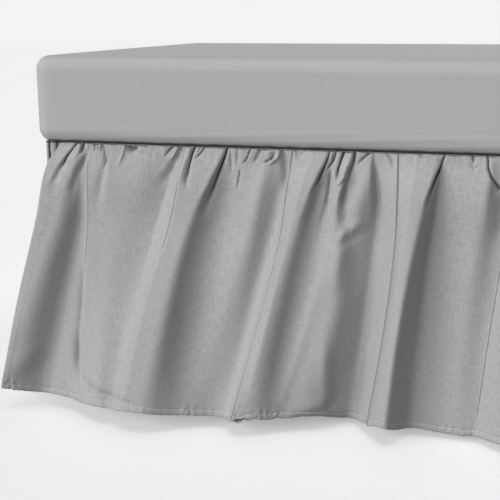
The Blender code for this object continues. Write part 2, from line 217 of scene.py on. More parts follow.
FRONT_PUCKERS = (
    # free end and first fold
    Pucker(((42, 0), (36, 8), (30, 20), (27, 32), (24, 44)), 1.0, 2.0, -7.5, 2.0, 2.0),
    Pucker(((32, 16), (26, 34), (19, 57), (14, 80)), 2.6, 5.0, -3.2, 1.2),
    Pucker(((47, 1), (45, 16), (40, 27)), 1.3, 1.6, 2.4, 0.0),
    Pucker(((50, 0), (50, 8), (49, 17)), 2.2, 1.2, -8.0, 0.8, 1.2),
    Pucker(((60, 10), (55, 22), (50, 38), (44, 66), (40, 100)), 1.8, 7.0, -5.0, -1.2),
    Pucker(((58, 150), (54, 220), (50, 277), (52, 306)), 2.4, 4.0, -2.6, -0.8),
    Pucker(((50, 250), (51, 296), (56, 314), (68, 323), (88, 329), (124, 334), (170, 337)),
           4.6, 5.4, -8.5, -2.5),
    # gathers of the slanting fold
    Pucker(((66, 0), (68, 12)), 0.9, 1.0, -3.6, 0.6),
    Pucker(((71, 0), (72, 11)), 0.9, 1.0, -3.0, 0.6),
    Pucker(((76, 0), (76, 12)), 0.9, 1.2, -3.2, 0.8),
    Pucker(((78, 0), (80, 9), (84, 20), (83, 36)), 1.4, 2.4, -5.5, -1.0, 1.0),
    Pucker(((84, 18), (82, 40), (77, 70), (73, 100)), 4.5, 7.0, -2.8, -0.5),
    Pucker(((108, 0), (105, 14), (100, 28)), 1.3, 2.0, 3.0, -1.2),
    Pucker(((111, 2), (118, 7), (130, 2)), 2.6, 3.0, -9.5, 0.0),
    Pucker(((134, 2), (150, 3), (163, 2)), 2.4, 2.4, -4.0, 0.0),
    Pucker(((176, 0), (168, 6), (160, 14)), 1.1, 1.1, -6.0, -1.0, -1.4),
    Pucker(((181, 0), (173, 12), (163, 18)), 1.2, 1.6, 4.0, 0.0),
    Pucker(((186, 0), (177, 16), (166, 34), (152, 58)), 2.6, 8.0, -4.0, 1.0),
    # second fold
    Pucker(((195, 1), (190, 22), (187, 40), (186, 60)), 1.5, 1.6, 1.8, 0.0),
    Pucker(((201, 0), (197, 10), (195, 26), (194, 42), (197, 60)), 1.6, 3.4, -9.0, 0.8, 1.8),
    Pucker(((214, 0), (209, 8), (201, 16)), 1.0, 1.1, -6.0, 1.0, 1.2),
    Pucker(((209, 1), (203, 9)), 0.9, 0.9, -2.6, 1.0),
    Pucker(((205, 0), (201, 7)), 0.8, 0.8, -2.2, 1.0),
    Pucker(((242, 0), (237, 14), (232, 30), (226, 48), (219, 68), (210, 100)),
           1.5, 5.0, -10.0, 1.8, 2.4),
    # low fold
    Pucker(((247, 2), (248, 16), (250, 34)), 1.4, 1.8, -2.4, 0.0),
    Pucker(((256, 1), (255, 20)), 1.2, 1.4, -2.2, 0.6),
    Pucker(((275, 0), (269, 13), (262, 20)), 1.0, 1.2, -6.5, -2.0, -1.8),
    Pucker(((287, 1), (282, 10), (276, 20)), 1.8, 2.2, -4.6, -1.0),
    Pucker(((260, 24), (258, 36), (257, 54)), 1.0, 1.1, -3.0, 1.2),
    Pucker(((294, 3), (302, 5)), 2.2, 2.2, 3.0, 0.0),
    Pucker(((289, 16), (299, 12), (306, 2)), 1.0, 1.2, -6.0, 0.0),
    Pucker(((310, 0), (308, 9), (300, 15), (290, 18)), 1.1, 1.2, 5.0, 0.0),
    Pucker(((313, 0), (315, 12), (318, 28), (319, 60)), 3.0, 7.0, -4.2, 1.0),
    # third fold and the short fold
    Pucker(((330, 1), (340, 4), (350, 1)), 2.0, 2.4, -5.0, 0.0),
    Pucker(((330, 3), (340, 15)), 1.4, 1.8, -2.4, 0.0),
    Pucker(((371, 0), (367, 13), (363, 26), (357, 44), (351, 64)), 1.2, 2.4, -8.5, 1.8, 2.4),
    Pucker(((365, 30), (360, 50), (354, 70), (344, 110)), 3.0, 6.0, -4.0, 1.5),
    Pucker(((381, 0), (378, 10), (373, 17), (367, 27)), 1.1, 1.3, -7.0, -1.0, -1.4),
    Pucker(((374, 3), (374, 11)), 1.6, 1.6, 3.2, 0.0),
    Pucker(((375, 16), (374, 42), (371, 70), (363, 110)), 1.4, 3.0, -5.0, -2.2, -1.0),
    Pucker(((389, 0), (385, 10), (382, 22), (383, 33), (386, 38)), 1.6, 2.0, -9.0, 1.4, 1.6),
    Pucker(((377, 22), (380, 33), (385, 40), (390, 33), (393, 18), (398, 2)), 1.2, 1.2, 4.0, 0.0),
    # fourth fold
    Pucker(((402, 0), (400, 12), (395, 32), (391, 54), (390, 84)), 2.0, 4.4, -8.0, 1.6, 1.4),
    Pucker(((391, 44), (389, 66), (393, 84), (402, 95), (418, 104)), 4.5, 6.5, -5.5, 1.5),
    Pucker(((386, 112), (400, 102), (414, 94), (430, 92)), 3.6, 4.4, -2.0, -4.5),
    Pucker(((399, 98), (398, 130), (394, 190)), 8.0, 11.0, -1.0, 4.5),
    Pucker(((423, 0), (417, 5), (410, 11), (403, 16)), 1.1, 1.1, -6.5, -1.8, -1.6),
    Pucker(((425, 3), (427, 24), (430, 56), (431, 104)), 2.6, 6.0, -6.0, 2.0),
    # deepest fold
    Pucker(((441, 0), (447, 7), (453, 18)), 1.8, 2.4, -5.0, 0.0),
    Pucker(((478, 3), (500, 2)), 2.0, 2.0, -4.0, 0.0),
    Pucker(((509, 0), (504, 10), (498, 30), (493, 51), (488, 78)), 1.3, 2.6, -10.5, 1.0, 2.6),
    Pucker(((503, 24), (498, 52)), 1.2, 1.2, 1.6, 0.0),
    # loose fold
    Pucker(((540, 0), (543, 9)), 1.2, 1.2, -7.0, 0.8, 0.8),
    Pucker(((538, 9), (544, 15), (551, 9)), 1.3, 1.3, -3.0, 0.0),
    Pucker(((557, 0), (558, 13), (562, 24), (571, 35), (585, 44), (602, 50)),
           1.4, 2.0, -9.5, 1.6, 2.2),
    Pucker(((572, 42), (575, 66), (577, 112)), 5.0, 8.0, -5.0, 2.0),
    # low on the cloth: an open tuck, the fourth fold's roll and foot, the free end's corner
    Pucker(((262, 348), (274, 342), (290, 348)), 1.3, 1.3, -7.5, 0.0),
    Pucker(((380, 232), (383, 284), (384, 312), (378, 326), (360, 333), (336, 338)),
           7.0, 5.0, 1.0, 2.6),
    Pucker(((404, 250), (400, 296), (396, 340), (395, 352)), 12.0, 14.0, -5.0, 0.0),
    Pucker(((4, 278), (-14, 306), (-36, 330), (-56, 346)), 9.0, 9.0, -0.8, 1.5),
)

# A pucker is worked out within this many half widths of its path. It fades in over its first
# share unless it starts at the seam, this near in millimetres, and fades out past its middle.
PUCKER_REACH = 4.0
PUCKER_FADE_IN = (-0.05, 0.25)
PUCKER_FADE_OUT = (0.5, 1.0)
PUCKER_SEAM = 1.5
TUCK_START = (0.0, 3.0)   # how far down the cloth a tuck begins to slide

# Where shade is painted into the cloth's colour: in creases that are this many times as deep
# as half their width, where the cloth lies this close to the base, down to where the gathers
# open, and over the seam's own edge, in millimetres.
SHADE_STEEP = (2.2, 5.5)
SHADE_NEAR_BASE = (0.3, 3.5)
SHADE_OPEN = (30.0, 70.0)
SHADE_SEAM = (0.9, 2.6)

# The puff of the cloth under the seam, in millimetres: how far it stands out, how far it
# rises, how much more it rises at the corner and from how far before it, how far down it is
# full, where the rise begins and ends and where the puff fades. Then how it grows along the
# seam from the ruffle's left end and stops before its right end.
PUFF_OUT = 8.0
PUFF_RISE = 2.3
CORNER_RISE = 1.8
CORNER_RISE_FROM = 8.0
PUFF_FULL = 1.6
RISE_TOP = -0.4
RISE_END = 14.0
PUFF_FADE = (30.0, 112.0)
PUFF_START = (-5.0, 60.0)
PUFF_STOP = (22.0, 8.0)

# Round the corner the cloth may hang in behind the line of the seam from this far past it.
# From this far before the corner, how close the cloth lies is measured from the bed's end
# instead of its side, starting this far inside it.
WRAP_FROM = 1.0
WRAP_NEAR = 12.0
WRAP_CLEAR = 2.0

# Small waves: their height and rough spacing in millimetres, and their slant. Those of the
# seam and of the hem fade towards the middle of the cloth, and the puff's height is a share
# of its rise. Each is the mean of so many sines, with lengths from one to the other share of
# the spacing.
Wave = namedtuple("Wave", "height spacing slant")
WAVE_SINES = 5
WAVE_LENGTHS = (0.7, 1.5)
SEAM_WAVE = Wave(0.5, 9.0, 0.4)
HEM_WAVE = Wave(1.3, 7.5, 0.7)
CLOTH_WAVE = Wave(0.5, 48.0, 0.5)
PUFF_WAVE = Wave(0.5, 22.0, 0.0)
SEAM_WAVY = (8.0, 42.0)
HEM_WAVY = (22.0, 6.0)
SEAM_HOLD = (-1.0, 1.6)   # how far down the cloth the seam's hold on all of this ends

# Where the hem of the fourth fold curls under: where it begins, is full, eases and ends
# along the seam, how much of the drop curls, and how far it turns in.
CURL_ALONG = (330.0, 352.0, 392.0, 414.0)
CURL_DEPTH = 16.0
CURL_IN = 7.0

# Plain puckers: spacing along the seam, lean and the share of it that is a bend, length, half
# width and how much it grows, height and roll, and how far from the ends of a stretch and
# from the modelled folds they keep.
PUCKER_EVERY = (7.0, 19.0)
PUCKER_LEAN = (-14.0, 14.0)
PUCKER_BEND = 0.25
PUCKER_LENGTH = (12.0, 66.0)
PUCKER_WIDTH = (1.6, 3.6)
PUCKER_WIDENS = 1.6
PUCKER_HEIGHT = (-5.0, 2.4)
PUCKER_ROLL = (-1.2, 1.2)
PUCKER_MARGIN = 20.0
PUCKER_AFTER_FOLDS = 15.0

# Seeds of the front ruffle's plain folds, its plain puckers and its waves. A plain ruffle
# has the seed of its folds below, and these are added to it for its puckers and its waves.
FRONT_SEEDS = (11, 21, 31)
PUCKER_SEED = 20
WAVE_SEED = 30

# Plain ruffles: node, seam in millimetres, fan, seed and turn about the vertical.
PLAIN_RUFFLES = (
    ("ruffle_right", DECK_SIZE.y / MM, END_FAN, 3, math.pi / 2),
    ("ruffle_back", DECK_SIZE.x / MM, LONG_FAN, 5, math.pi),
    ("ruffle_left", DECK_SIZE.y / MM, END_FAN, 8, -math.pi / 2),
)

# Weave and grain, in millimetres: the cotton's thread, the slubs of the skirt and of the
# fitted sheet, and the wood's grain lines, with how deep they look. Real slubs are about a
# thread wide, too fine to show, so they are drawn as many threads wide as they need.
THREAD = 0.3125
SLUB_THREADS = 4.0
SLUB_LENGTH = 11.11
SHEET_SLUB_THREADS = 4.57
SLUB_RELIEF = 0.4
GRAIN_LENGTH = 166.7
GRAIN_WIDTH = 11.11
GRAIN_RELIEF = 0.5

# ---------------------------------------------------------------- mattress sizes
MATTRESS_ROUND = 18.0 * MM
MATTRESS_CORNER = 22.0 * MM
MATTRESS_CROWN = 6.0 * MM
WRINKLE = Wave(0.45, 12.0, 0.06)
WRINKLE_ZONE = (4.0, 10.0, 18.0, 40.0)      # millimetres up the side: begins, full, fades, ends
# Painted shade on the mattress's lower edge: a dark, uneven line where the gathers meet it.
CONTACT_SHADE_HEIGHT = (2.6, 5.6)     # millimetres up the lower edge where the gathers press on it
CONTACT_SHADE_WAVE = Wave(1.0, 24.0, 0.0)
WRINKLE_SEED = 4
CONTACT_SHADE_SEED = 6
EDGE_RINGS = 17
SIDE_RINGS = 26
FACE_RINGS = 16
MIDDLE_SHARE = 0.03           # the innermost ring, as a share of the outline
CORNER_STEPS = 8
STATIONS = (80, 150, 80, 150)     # along the right end, the back, the left end and the front

# ---------------------------------------------------------------- studio
CAMERA_PLACE = (-0.105, -1.460, 0.507)      # metres from the floor under the bed's middle
CAMERA_PITCH = 13.9           # degrees down, and then to the left
CAMERA_YAW = 13.5
FOCAL_PIXELS = 930.0          # focal length, for a picture that is IMAGE_PIXELS wide
IMAGE_PIXELS = 500.0
SENSOR = 36.0
SUN_SIZE = 30.0               # degrees, so that shadows are as soft as a large box's
# name, azimuth in degrees from the front towards the left, elevation and strength
LIGHTS = (
    ("left softbox", 50.0, 20.0, 0.455),
    ("front softbox", 20.0, 20.0, 0.402),
    ("overhead softbox", 20.0, 78.0, 0.17),
    ("rear softbox", -150.0, 12.0, 0.38),
)
SURROUND = 0.15               # strength of the surround as a light, and as the camera sees it
BACKDROP = 0.90
FLOOR_GLOW = 0.28
FLOOR_SIZE = 40.0
FLOOR_GAP = 0.5 * MM          # between the floor and the feet


# ---------------------------------------------------------------- hanging cloth
def ease_down(values, down):
    """Hermite curve through the values at LEVELS, read at each distance down the cloth.

    values has a row for each fold line; the result has a row for each distance.
    """
    levels = np.array(LEVELS)
    steps = np.diff(values, axis=1) / np.diff(levels)
    slopes = np.concatenate([steps[:, :1], (steps[:, 1:] + steps[:, :-1]) / 2, steps[:, -1:]],
                            axis=1)
    place = np.clip(np.searchsorted(levels, down, side="right") - 1, 0, len(levels) - 2)
    span = levels[place + 1] - levels[place]
    part = (down - levels[place]) / span
    start = values[:, place] * (2 * part ** 3 - 3 * part ** 2 + 1)
    end = values[:, place + 1] * (3 * part ** 2 - 2 * part ** 3)
    leave = slopes[:, place] * span * (part ** 3 - 2 * part ** 2 + part)
    arrive = slopes[:, place + 1] * span * (part ** 3 - part ** 2)
    return (start + end + leave + arrive).T


def smooth_step(low, high, value):
    """0 below low, 1 above high, and 3x^2 - 2x^3 between them."""
    part = np.clip((value - low) / (high - low), 0.0, 1.0)
    return part * part * (3.0 - 2.0 * part)


def column_places(lines, pressed, plain_from):
    """Places of the cloth's columns, as fold line number plus the share on to the next line.

    Columns crowd near pressed creases. The second list gives how many finer columns each
    one is split into near the gathers.
    """
    places, splits = [], []
    pressed_lines = [crease.line for crease in pressed]
    for k in range(len(lines) - 1):
        left, right = lines[k], lines[k + 1]
        span = max(math.hypot(right.along[i] - left.along[i], right.out[i] - left.out[i])
                   for i in range(len(LEVELS)))
        modelled = left.along[0] < plain_from
        count = max(2, math.ceil(span / (HANGING_COLUMN if modelled else PLAIN_COLUMN)))
        shares = {i / count for i in range(count)}
        near = [step / span for step in PRESSED_COLUMNS if step / span < PRESSED_SHARE]
        if k in pressed_lines:
            shares |= set(near)
        if k + 1 in pressed_lines:
            shares |= {1.0 - share for share in near}
        shares = sorted(shares) + [1.0]
        seam_gap = (right.along[0] - left.along[0]) if modelled else 0.0
        for share, after in zip(shares, shares[1:]):
            places.append(k + share)
            fine = round((after - share) * seam_gap / GATHER_COLUMN)
            splits.append(max(1, min(GATHER_SPLITS, fine)))
    return np.array(places + [len(lines) - 1.0]), np.array(splits)


def rounded_section(along, out, soft, places):
    """Points on the zigzag through the fold lines, with a parabola at every corner.

    The arrays along, out and soft have a row for each height and a column for each line.
    """
    index = np.minimum(places.astype(int), along.shape[1] - 2)
    share = places - index
    corner = np.stack([along, out], axis=-1)
    side = np.diff(corner, axis=1)
    length = np.linalg.norm(side, axis=-1)
    heading = side / length[..., None]
    travelled = np.concatenate([np.zeros((len(along), 1)), np.cumsum(length, axis=1)], axis=1)
    points = corner[:, index] + share[None, :, None] * side[:, index]
    place = travelled[:, index] + share * length[:, index]
    shorter = np.minimum(length[:, :-1], length[:, 1:])
    reach = np.minimum(soft[:, 1:-1], SOFT_REACH * shorter)
    away = np.abs(place[:, :, None] - travelled[:, None, 1:-1])
    bend = np.maximum(reach[:, None, :] - away, 0.0) ** 2 / (4.0 * reach[:, None, :])
    return points + np.einsum("rcl,rld->rcd", bend, heading[:, 1:] - heading[:, :-1])


def pucker_relief(along, down, puckers):
    """Height of the puckers: height exp(-d^2) - roll d exp(1/2 - d^2/2), where d is the
    distance from a pucker's path in half widths, below zero on its left. Each one fades in,
    unless it starts at the seam, and fades out towards its end.

    The second result is the tucks' slide along the seam, tuck exp(-(d + 1)^2), or
    tuck exp(-(d - 1)^2) for a tuck below zero. The third is the shade painted into the
    cloth's colour, from 0 to 1 along the middle of a deep crease.
    """
    relief, slide, painted_shade = (np.zeros_like(along) for _ in range(3))
    deep = np.broadcast_to(down[:, None], along.shape)
    for crease in puckers:
        path = np.array(crease.path, dtype=float)
        reach = PUCKER_REACH * max(crease.width_start, crease.width_end)
        low, high = path.min(axis=0) - reach, path.max(axis=0) + reach
        near = (along > low[0]) & (along < high[0]) & (deep > low[1]) & (deep < high[1])
        spot = np.stack([along[near], deep[near]], axis=-1)
        runs = np.linalg.norm(np.diff(path, axis=0), axis=1)
        travelled = np.concatenate([[0.0], np.cumsum(runs)])
        nearest = np.full(len(spot), np.inf)
        side, run = np.zeros(len(spot)), np.zeros(len(spot))
        for k, length in enumerate(runs):
            heading = (path[k + 1] - path[k]) / length
            offset = spot - path[k]
            step = np.clip(offset @ heading, 0.0, length)
            away = np.linalg.norm(offset - step[:, None] * heading, axis=1)
            closer = away < nearest
            nearest = np.where(closer, away, nearest)
            cross = offset[:, 0] * heading[1] - offset[:, 1] * heading[0]
            side = np.where(closer, np.sign(cross), side)
            run = np.where(closer, travelled[k] + step, run)
        part = run / travelled[-1]
        width = crease.width_start + (crease.width_end - crease.width_start) * part
        d = nearest / width
        fade_in = 1.0 if path[0, 1] < PUCKER_SEAM else smooth_step(*PUCKER_FADE_IN, part)
        fade = fade_in * (1.0 - smooth_step(*PUCKER_FADE_OUT, part))
        relief[near] += fade * (crease.height * np.exp(-d * d)
                                - crease.roll * side * d * np.exp(0.5 - d * d / 2.0))
        slide[near] += fade * crease.tuck * np.exp(-(side * d + np.sign(crease.tuck)) ** 2)
        # Painted shade along the middle of narrow, deep creases.
        steep = smooth_step(*SHADE_STEEP, -crease.height / width)
        painted_shade[near] = np.maximum(painted_shade[near], fade * steep * np.exp(-2.0 * d * d))
    return relief, slide, painted_shade


def pressed_relief(along, down, lines_along, pressed):
    """Ridge and groove of each pressed crease: exp(-d^2), with d in widths from each.

    The second result is the shade painted along it, from 0 to 1.
    """
    relief, painted_shade = np.zeros_like(along), np.zeros_like(along)
    depth = down[:, None]
    for crease in pressed:
        d = (along - lines_along[:, crease.line:crease.line + 1]) / crease.width
        shown = (smooth_step(crease.top, crease.top + PRESSED_FADE, depth)
                 * (1.0 - smooth_step(crease.bottom - PRESSED_FADE, crease.bottom, depth)))
        relief += shown * (crease.ridge * np.exp(-(d - RIDGE_AT) ** 2)
                           - crease.groove * np.exp(-(d - GROOVE_AT) ** 2))
        painted_shade = np.maximum(painted_shade, crease.shade * shown * np.exp(-(d - SHADE_AT) ** 2))
    return relief, painted_shade


def hem_curl(along, down):
    """How far a stretch of hem turns in: a parabola over the last of the drop."""
    begins, full, eases, ends = CURL_ALONG
    stretch = smooth_step(begins, full, along) * (1.0 - smooth_step(eases, ends, along))
    turn = np.clip((down[:, None] - DROP + CURL_DEPTH) / CURL_DEPTH, 0.0, 1.0) ** 2
    return -CURL_IN * stretch * turn


def wavy(along, down, pick, wave):
    """The wave's height times the mean of its slanting sines, which have unlike lengths."""
    total = np.zeros(np.broadcast(along, down[:, None]).shape)
    for _ in range(WAVE_SINES):
        length = wave.spacing * pick.uniform(*WAVE_LENGTHS)
        tilt = wave.slant * pick.uniform(-1.0, 1.0)
        total += np.sin(math.tau * (along + tilt * down[:, None]) / length
                        + pick.uniform(0.0, math.tau))
    return wave.height * total / WAVE_SINES


def hem_relief(cloth_along, down):
    """Raise of the doubled hem over its depth, with the groove that its stitches pull."""
    edge = DROP - down[:, None]
    side = np.minimum(cloth_along, cloth_along[-1] - cloth_along)
    inside = np.minimum(edge, side)
    before, after = HEM_STEP
    raised = HEM_RAISE * (1.0 - smooth_step(HEM_DEPTH - before, HEM_DEPTH + after, inside))
    depth, width = STITCH_GROOVE
    return raised - depth * np.exp(-((edge - HEM_DEPTH) / width) ** 2)


def puff_relief(along, down, seam):
    """Puff of the gathers: full just under the seam, gone lower down, easing off at the ends."""
    depth = down[:, None]
    puff = PUFF_OUT * smooth_step(0.0, PUFF_FULL, depth) * (1.0 - smooth_step(*PUFF_FADE, depth))
    stop, gone = PUFF_STOP
    ends = smooth_step(*PUFF_START, along) * (1.0 - smooth_step(seam - stop, seam - gone, along))
    return puff * ends


def puff_rise(along, down, pick, seam):
    """How far the puff lifts the cloth over the seam: unevenly, and more at the corner."""
    depth = down[:, None]
    rise = PUFF_RISE * (1.0 + wavy(along, down, pick, PUFF_WAVE))
    rise += CORNER_RISE * smooth_step(seam - CORNER_RISE_FROM, seam, along)
    return (rise * smooth_step(RISE_TOP, PUFF_FULL, depth)
            * (1.0 - smooth_step(PUFF_FULL, RISE_END, depth)))


def seam_painted_shade(along, out, down, seam):
    """Shade painted into the cloth where the gathers lie close to the bed, from 0 to 1, and 1
    over the seam's own edge.
    """
    depth = down[:, None]
    clear = np.where(along > seam - WRAP_NEAR, along - seam + WRAP_CLEAR, out)
    close = (1.0 - smooth_step(*SHADE_NEAR_BASE, clear)) * (1.0 - smooth_step(*SHADE_OPEN, depth))
    return np.maximum(close, 1.0 - smooth_step(*SHADE_SEAM, depth))


def hem_trim(along, down, lines_along, laps, short):
    """How far the cloth is drawn up towards its hem: cut short, less where a panel laps."""
    trim = np.interp(along, *np.array(short).T)
    for line, lower in laps:
        beyond = along - lines_along[:, line:line + 1]
        trim -= lower * smooth_step(*LAP_EDGE, beyond) * (1.0 - smooth_step(*LAP_FADE, beyond))
    return trim * smooth_step(TRIM_TOP, DROP, down[:, None])


def rows_down():
    """Distances down the cloth: close near the gathers and the hem, wider between."""
    first, step = GATHER_ROWS
    return np.concatenate([SEAM_ROWS, np.arange(first, GATHER_ZONE, step),
                           np.linspace(GATHER_ZONE, DROP - HEM_ZONE, MIDDLE_ROWS),
                           DROP - np.array(HEM_ROWS)])


def folded_section(lines, down, pressed, plain_from):
    """Section of a ruffle at each height: along and out, in millimetres, for each column.

    The other results are where the fold lines stand at each height, and how many fine
    columns stand between the columns that go on to the hem.
    """
    along = ease_down(np.array([line.along for line in lines], dtype=float), down)
    out = ease_down(np.array([line.out for line in lines], dtype=float), down)
    loosening = SOFT_AT_SEAM + (1.0 - SOFT_AT_SEAM) * down / DROP
    soft = np.array([line.soft for line in lines]) * loosening[:, None] + SOFT_LEAST
    coarse, splits = column_places(lines, pressed, plain_from)
    fine = [np.linspace(a, b, n + 1)[:-1] for a, b, n in zip(coarse, coarse[1:], splits)]
    places = np.concatenate(fine + [coarse[-1:]])
    return rounded_section(along, out, soft, places), along, splits


def hanging_heights(lines, section, down):
    """Heights in millimetres of points on columns that keep their length of cloth.

    A step s down the cloth that goes out by o falls by sqrt(s^2 - o^2 - (l s)^2), where l is
    the column's lean, read from a parabola fitted to the leans of the fold lines.
    """
    ends = np.array([line.along for line in lines], dtype=float)
    lean_curve = np.polyfit(ends[:, -1], ends[:, -1] - ends[:, 0], 2)
    lean = np.polyval(lean_curve, section[-1, :, 0]) / DROP
    step = np.diff(down)[:, None]
    stride = np.diff(section[..., 1], axis=0)
    fall = np.sqrt(step ** 2 - stride ** 2 - (lean * step) ** 2)
    fallen = np.concatenate([np.zeros((1, fall.shape[1])), np.cumsum(fall, axis=0)])
    return SEAM_HEIGHT / MM - fallen


def hanging_cloth(lines, puckers, seed, seam, pressed=(), plain_from=0.0, curled=False,
                  laps=(), short=((0.0, 0.0),)):
    """Grid of points of a ruffle in millimetres, each point's place on the flat cloth, how
    much shade is painted into the colour there, and how many fine columns stand between the
    columns that go on to the hem.

    A point is its fold section, moved out by the sum of the reliefs, along by the tucks'
    slide, and up by the puff's rise and the hem's trim.
    """
    pick = random.Random(seed)
    down = rows_down()
    depth = down[:, None]
    section, lines_along, splits = folded_section(lines, down, pressed, plain_from)
    height = hanging_heights(lines, section, down)
    along, out = section[..., 0], section[..., 1]
    hem_run = np.linalg.norm(np.diff(section[-1], axis=0), axis=1)
    cloth_along = np.concatenate([[0.0], np.cumsum(hem_run)])
    cloth = np.broadcast_to(cloth_along, along.shape)

    relief = puff_relief(along, down, seam)
    relief += (1.0 - smooth_step(*SEAM_WAVY, depth)) * wavy(along, down, pick, SEAM_WAVE)
    creases, slide, crease_shade = pucker_relief(along, down, puckers)
    near_hem = smooth_step(DROP - HEM_WAVY[0], DROP - HEM_WAVY[1], depth)
    relief += creases + near_hem * wavy(cloth, down, pick, HEM_WAVE)
    relief += wavy(cloth, down, pick, CLOTH_WAVE)
    relief *= smooth_step(*SEAM_HOLD, depth)
    edges, edge_shade = pressed_relief(along, down, lines_along, pressed)
    relief += edges + hem_relief(cloth_along, down)
    if curled:
        relief += hem_curl(along, down)
    out = np.maximum(out + relief, np.where(along > seam + WRAP_FROM, -np.inf, 0.0))
    # Shade painted into the cloth's colour: in deep creases, along pressed creases and near the
    # bed.
    painted_shade = np.maximum(np.maximum(crease_shade, edge_shade), seam_painted_shade(along, out, down, seam))
    along = along + slide * smooth_step(*TUCK_START, depth)
    height += puff_rise(along, down, pick, seam)
    height += hem_trim(along, down, lines_along, laps, short)
    place = np.stack([cloth, np.broadcast_to(depth, cloth.shape)], axis=-1)
    return np.stack([along, out, height], axis=-1), place, painted_shade, splits


def plain_fold(place, seam, fan, hem_out, growth, soft):
    """A fold line that fans out from its place on the seam and stands out by its growth."""
    shift = fan * (2.0 * place / seam - 1.0)
    return Fold([place + shift * share for share in FAN_GROWTH],
                [hem_out * share for share in growth], soft)


def plain_folds(start, end, seam, fan, seed):
    """Fold lines for a stretch of ruffle, unevenly spaced and fanning out to both ends."""
    pick = random.Random(seed)
    folds = []
    place = start
    while place < end - PLAIN_PITCH[1]:
        pitch = pick.uniform(*PLAIN_PITCH)
        flank = pitch * pick.uniform(*PLAIN_FLANK)
        crest, foot = pick.uniform(*PLAIN_CREST), pick.uniform(*PLAIN_FOOT)
        folds.append(plain_fold(place + pitch - flank, seam, fan, crest, CREST_GROWTH,
                                PLAIN_SOFT[0]))
        folds.append(plain_fold(place + pitch, seam, fan, foot, FOOT_GROWTH, PLAIN_SOFT[1]))
        place += pitch
    middle = sum(PLAIN_CREST) / 2
    folds.append(plain_fold((place + end) / 2, seam, fan, middle, CREST_GROWTH, PLAIN_SOFT[0]))
    folds.append(plain_fold(end, seam, fan, PLAIN_END * middle, CREST_GROWTH, 0.0))
    return folds


def plain_ruffle_folds(seam, fan, seed):
    """Fold lines of a whole plain ruffle, its free end first."""
    end_out = PLAIN_END * sum(PLAIN_CREST) / 2
    start = plain_fold(SEAM_END, seam, fan, end_out, CREST_GROWTH, 0.0)
    return [start] + plain_folds(SEAM_END, seam - SEAM_END, seam, fan, seed)


def plain_puckers(start, end, seed):
    """Short creases at uneven places along the seam, leaning and bending either way."""
    pick = random.Random(seed)
    puckers = []
    place = start
    while place < end:
        lean, length = pick.uniform(*PUCKER_LEAN), pick.uniform(*PUCKER_LENGTH)
        bend = PUCKER_BEND * pick.uniform(*PUCKER_LEAN)
        path = ((place, 0.0), (place + lean / 2 + bend, length / 2), (place + lean, length))
        width = pick.uniform(*PUCKER_WIDTH)
        puckers.append(Pucker(path, width, PUCKER_WIDENS * width, pick.uniform(*PUCKER_HEIGHT),
                              pick.uniform(*PUCKER_ROLL)))
        place += pick.uniform(*PUCKER_EVERY)
    return puckers


def painted_shade_mesh(name, vertices, faces, painted_shade):
    """Smooth mesh whose points hold how much shade is painted into the colour there."""
    mesh = bpy.data.meshes.new(name)
    mesh.from_pydata(vertices.tolist(), [], faces)
    pressed = mesh.attributes.new("painted shade", "FLOAT", "POINT")
    pressed.data.foreach_set("value", painted_shade.astype(np.float32))
    mesh.shade_smooth()
    return mesh


def grid_mesh(name, points, place, painted_shade, splits):
    """Mesh of a grid of points, with the place on the flat cloth as its UV map, in metres.

    All columns run down to GATHER_ZONE. Below it only the first of each split's fine columns
    goes on, and the cells just below it have the others' points on their tops.
    """
    top_rows = int(np.searchsorted(place[:, 0, 1], GATHER_ZONE)) + 1
    kept = np.concatenate([[0], np.cumsum(splits)])
    rows, columns = painted_shade.shape
    upper = np.arange(top_rows * columns).reshape(top_rows, columns)
    lower = upper.size + np.arange((rows - top_rows) * len(kept)).reshape(-1, len(kept))

    def cells(grid):
        return np.stack([grid[1:, :-1], grid[1:, 1:], grid[:-1, 1:], grid[:-1, :-1]],
                        axis=-1).reshape(-1, 4).tolist()

    def thinned(values):
        width = values[0, 0].size
        return np.concatenate([values[:top_rows].reshape(-1, width),
                               values[top_rows:, kept].reshape(-1, width)])

    joining = [[lower[0, k], lower[0, k + 1], *upper[-1, kept[k]:kept[k + 1] + 1][::-1]]
               for k in range(len(splits))]
    faces = cells(upper) + joining + cells(lower)
    mesh = painted_shade_mesh(name, thinned(points), faces, thinned(painted_shade)[:, 0])
    corner = np.zeros(len(mesh.loops), dtype=np.int32)
    mesh.loops.foreach_get("vertex_index", corner)
    flat_place = thinned(place) * MM
    layer = mesh.uv_layers.new(name="cloth")
    layer.data.foreach_set("uv", flat_place[corner].reshape(-1).astype(np.float32))
    return mesh


def add_piece(name, mesh, material):
    """A finished piece at the origin, riding on the part's one body."""
    piece = bpy.data.objects.new(name, mesh)
    piece.data.materials.append(material)
    bpy.context.scene.collection.objects.link(piece)
    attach(piece, "root")
    return piece


def turned(points, across, deep, turn):
    """Panel points (along, out, height) in millimetres as world points, turned about Z."""
    x = points[..., 0] * MM - across / 2.0
    y = -deep / 2.0 - SEAT_GAP - (points[..., 1] + CLOTH_PLACE) * MM
    return np.stack([x * math.cos(turn) - y * math.sin(turn) + BED_MIDDLE.x,
                     x * math.sin(turn) + y * math.cos(turn) + BED_MIDDLE.y,
                     points[..., 2] * MM], axis=-1)


